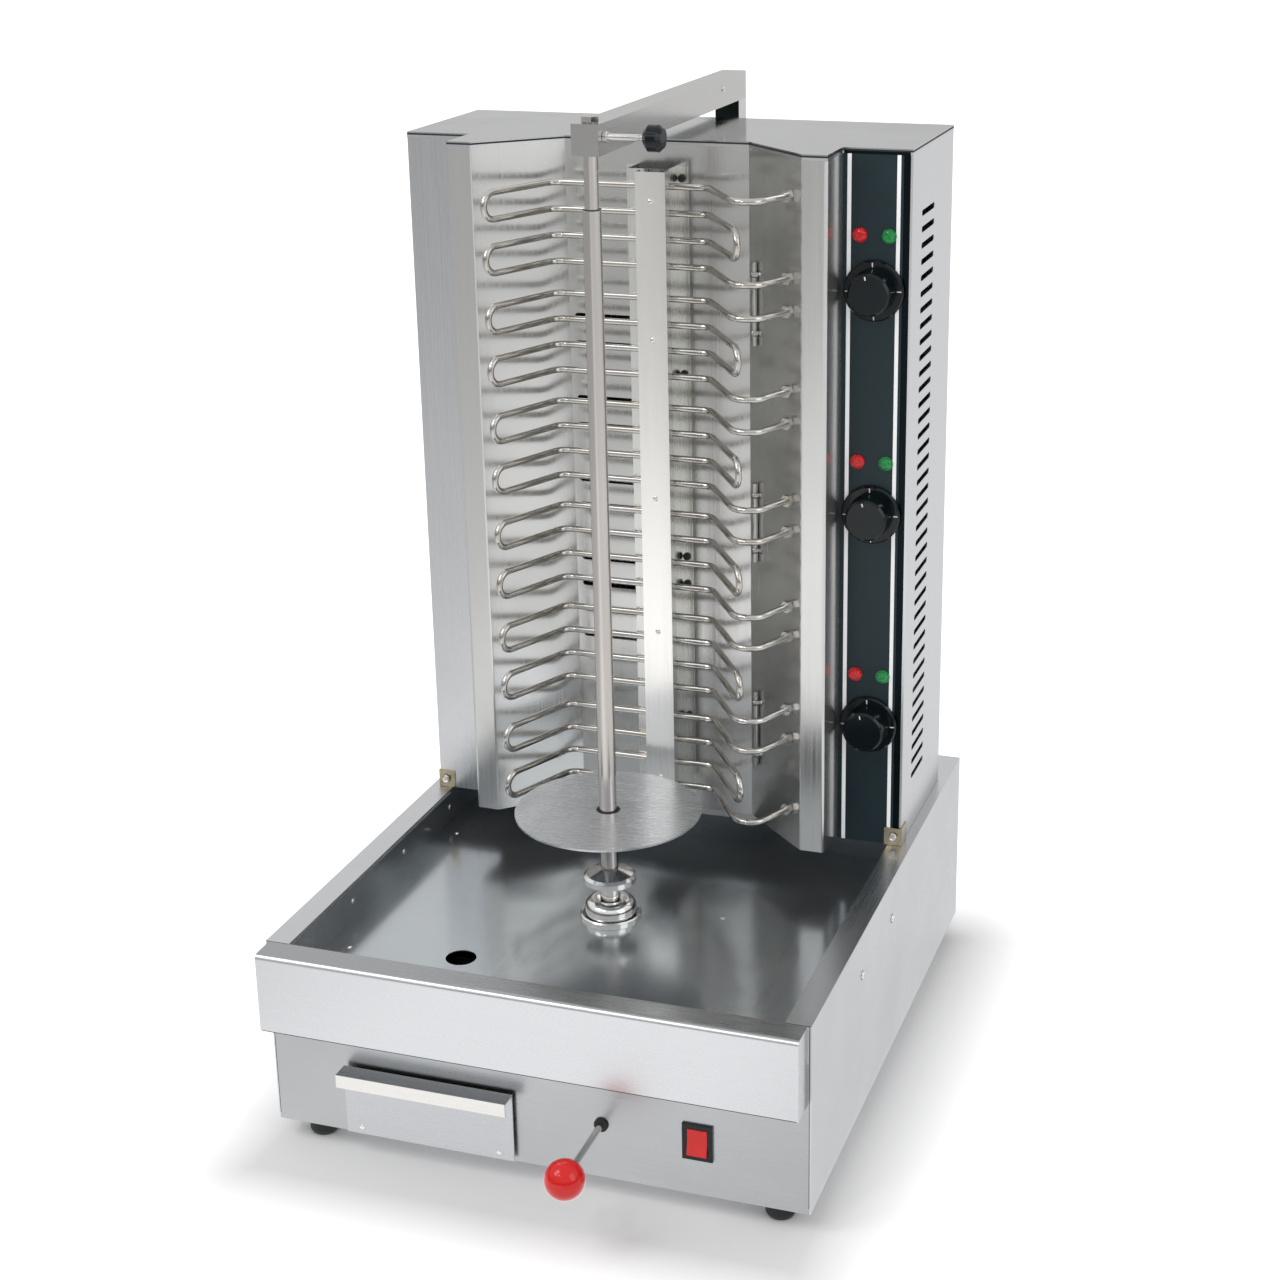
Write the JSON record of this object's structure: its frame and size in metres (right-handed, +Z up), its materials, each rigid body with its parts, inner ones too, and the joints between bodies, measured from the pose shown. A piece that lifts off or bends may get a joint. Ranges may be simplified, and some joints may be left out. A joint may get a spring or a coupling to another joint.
{
  "type": "doner kebab machine",
  "caption": "Upright electric spit grill with a heater housing that slides on a drip-tray base, a driven spit, an overhead arm and a fat drawer.",
  "frame": {"origin": "middle of the bounding box at the underside of the feet", "axes": "+Z up; the drawer, lever and knobs face -Y; +X to the right seen from the front"},
  "size_m": [0.52, 0.727, 0.9373],
  "materials": {
    "brushed_stainless": "brushed stainless sheet",
    "tray_stainless": "smooth stainless sheet",
    "spindle_steel": "turned stainless",
    "element_steel": "polished heating tube",
    "bright_steel": "polished",
    "zinc_plate": "yellow zinc plated",
    "motor_paint": "grey enamel",
    "black_rubber": "matt",
    "black_plastic": "satin",
    "panel_black": "semi-gloss film",
    "red_plastic": "gloss",
    "red_lens": "translucent",
    "green_lens": "translucent",
    "terminal_plastic": "matt"
  },
  "bodies": {
    "base": {"base_side_left": "brushed_stainless", "base_side_right": "brushed_stainless", "base_front_panel": "brushed_stainless", "base_rear_panel": "brushed_stainless", "base_bottom_plate": "brushed_stainless", "drip_tray": "tray_stainless", "tray_front_lip": "brushed_stainless", "foot_front_left": "black_rubber", "foot_front_right": "black_rubber", "foot_rear_left": "black_rubber", "foot_rear_right": "black_rubber", "lever_grommet": "black_rubber", "switch_body": "black_plastic", "drawer_guide_left": "zinc_plate", "drawer_guide_right": "zinc_plate", "gear_motor": "motor_paint", "motor_bracket": "zinc_plate", "hub_ring": "bright_steel", "arm_post": "brushed_stainless", "spit_arm": "brushed_stainless", "cable_gland": "black_plastic", "terminal_block": "terminal_plastic"},
    "rocker": {"switch_rocker": "red_plastic"},
    "drawer": {"drawer_front": "brushed_stainless", "drawer_box": "brushed_stainless"},
    "spit": {"drive_shaft": "bright_steel", "drive_hub": "bright_steel", "spit_collar": "bright_steel", "spindle": "spindle_steel", "meat_disc": "brushed_stainless"},
    "pin": {"top_pin": "spindle_steel"},
    "clamp": {"clamp_screw": "zinc_plate", "clamp_knob": "black_plastic"},
    "heater_housing": {"housing_side_left": "brushed_stainless", "housing_side_right": "brushed_stainless", "housing_rear_panel": "brushed_stainless", "housing_floor": "brushed_stainless", "housing_lid": "brushed_stainless", "housing_shoe_left": "zinc_plate", "housing_shoe_right": "zinc_plate", "control_panel": "panel_black", "pilot_lights_red": "red_lens", "pilot_lights_green": "green_lens", "thermostats": "black_plastic", "thermostat_bulbs": "bright_steel", "heat_shield": "brushed_stainless", "element_bar_front": "brushed_stainless", "element_bar_rear": "brushed_stainless", "lever_rod": "bright_steel", "lever_ball": "red_plastic", "lever_bracket": "zinc_plate", "heating_element_1": "element_steel", "heating_element_2": "element_steel", "heating_element_3": "element_steel", "heating_element_4": "element_steel", "heating_element_5": "element_steel", "heating_element_6": "element_steel"},
    "knob_low": {"knob_1": "black_plastic"},
    "knob_middle": {"knob_2": "black_plastic"},
    "knob_high": {"knob_3": "black_plastic"}
  },
  "joints": [
    {"name": "drawer_slide", "type": "slide", "parent": "base", "child": "drawer", "axis": [0, -1, 0], "range_m": [-0.0037, 0.19]},
    {"name": "rocker_tilt", "type": "hinge", "parent": "base", "child": "rocker", "pos_m": [0.1568, -0.2567, 0.074], "axis": [1, 0, 0], "range_deg": [0, 14]},
    {"name": "spit_turn", "type": "hinge", "parent": "base", "child": "spit", "pos_m": [0, -0.0497, 0.282], "axis": [0, 0, 1], "continuous": true},
    {"name": "pin_lift", "type": "slide", "parent": "base", "child": "pin", "axis": [0, 0, 1], "range_m": [0, 0.04]},
    {"name": "clamp_turn", "type": "hinge", "parent": "base", "child": "clamp", "pos_m": [0.059, -0.0497, 0.92], "axis": [1, 0, 0], "range_deg": [0, 540]},
    {"name": "housing_slide", "type": "slide", "parent": "base", "child": "heater_housing", "axis": [0, 1, 0], "range_m": [0, 0.055]},
    {"name": "knob_low_turn", "type": "hinge", "parent": "heater_housing", "child": "knob_low", "pos_m": [0.2155, 0.1055, 0.334], "axis": [0, 1, 0], "range_deg": [0, 300]},
    {"name": "knob_middle_turn", "type": "hinge", "parent": "heater_housing", "child": "knob_middle", "pos_m": [0.2155, 0.1055, 0.5495], "axis": [0, 1, 0], "range_deg": [0, 300]},
    {"name": "knob_high_turn", "type": "hinge", "parent": "heater_housing", "child": "knob_high", "pos_m": [0.2155, 0.1055, 0.765], "axis": [0, 1, 0], "range_deg": [0, 300]}
  ]
}
